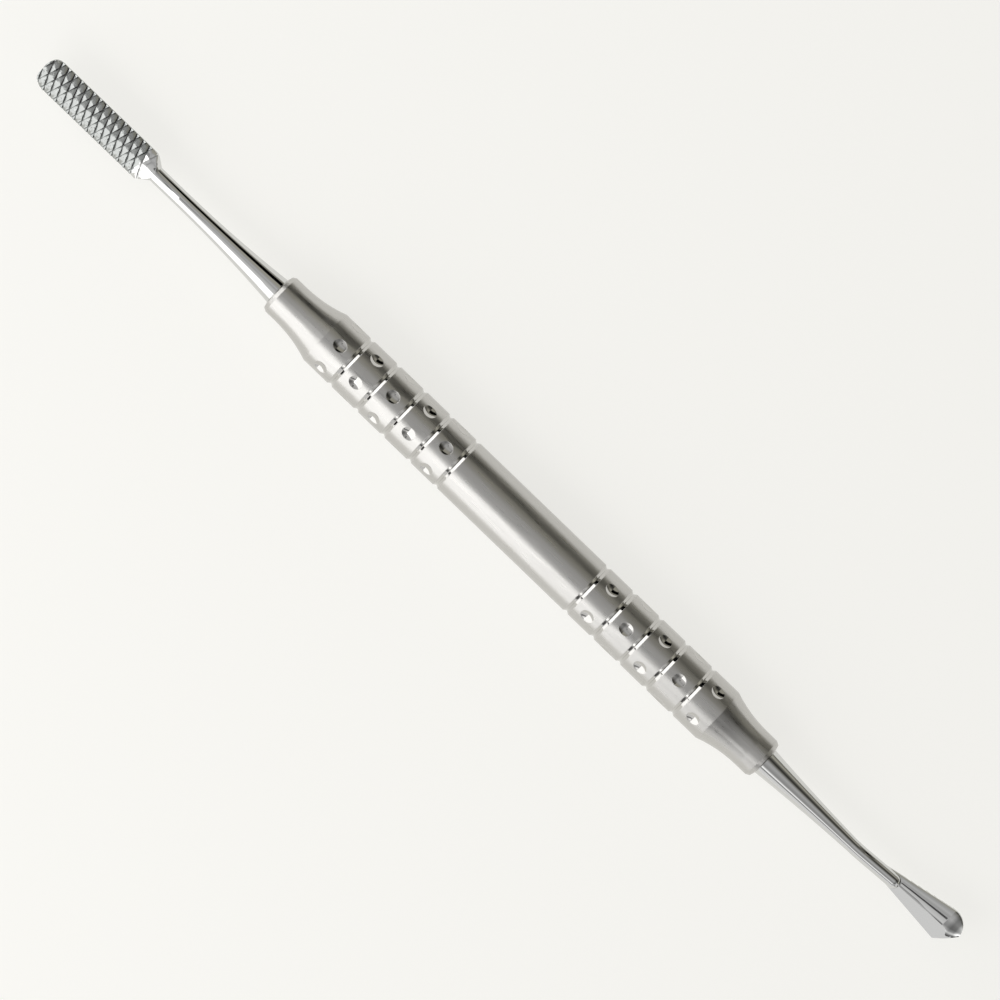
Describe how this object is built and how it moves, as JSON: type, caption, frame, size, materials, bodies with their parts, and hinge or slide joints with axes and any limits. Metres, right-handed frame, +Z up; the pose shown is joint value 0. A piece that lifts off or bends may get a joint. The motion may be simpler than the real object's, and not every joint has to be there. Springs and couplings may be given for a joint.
{
  "type": "bone file",
  "caption": "Double-ended surgical hand file: hollow ringed and dimpled steel handle, long head with cross-cut teeth at one end, smaller drop-shaped toothed head at the other.",
  "frame": {"origin": "middle of the overall length, on the table plane under the handle's axis", "axes": "+X along the handle from the long file head to the drop-shaped head, +Z up out of the table, on the side of the long head's toothed face, +Y across, towards the side that the drop-shaped head leans to"},
  "size_m": [0.192, 0.0094, 0.0095],
  "materials": {
    "satin_steel": "satin stainless steel, turned, with soft lengthwise reflections",
    "polished_steel": "mirror-polished stainless steel"
  },
  "bodies": {
    "root": {"handle": "satin_steel", "file_tip": "polished_steel", "drop_tip": "polished_steel"}
  },
  "joints": []
}
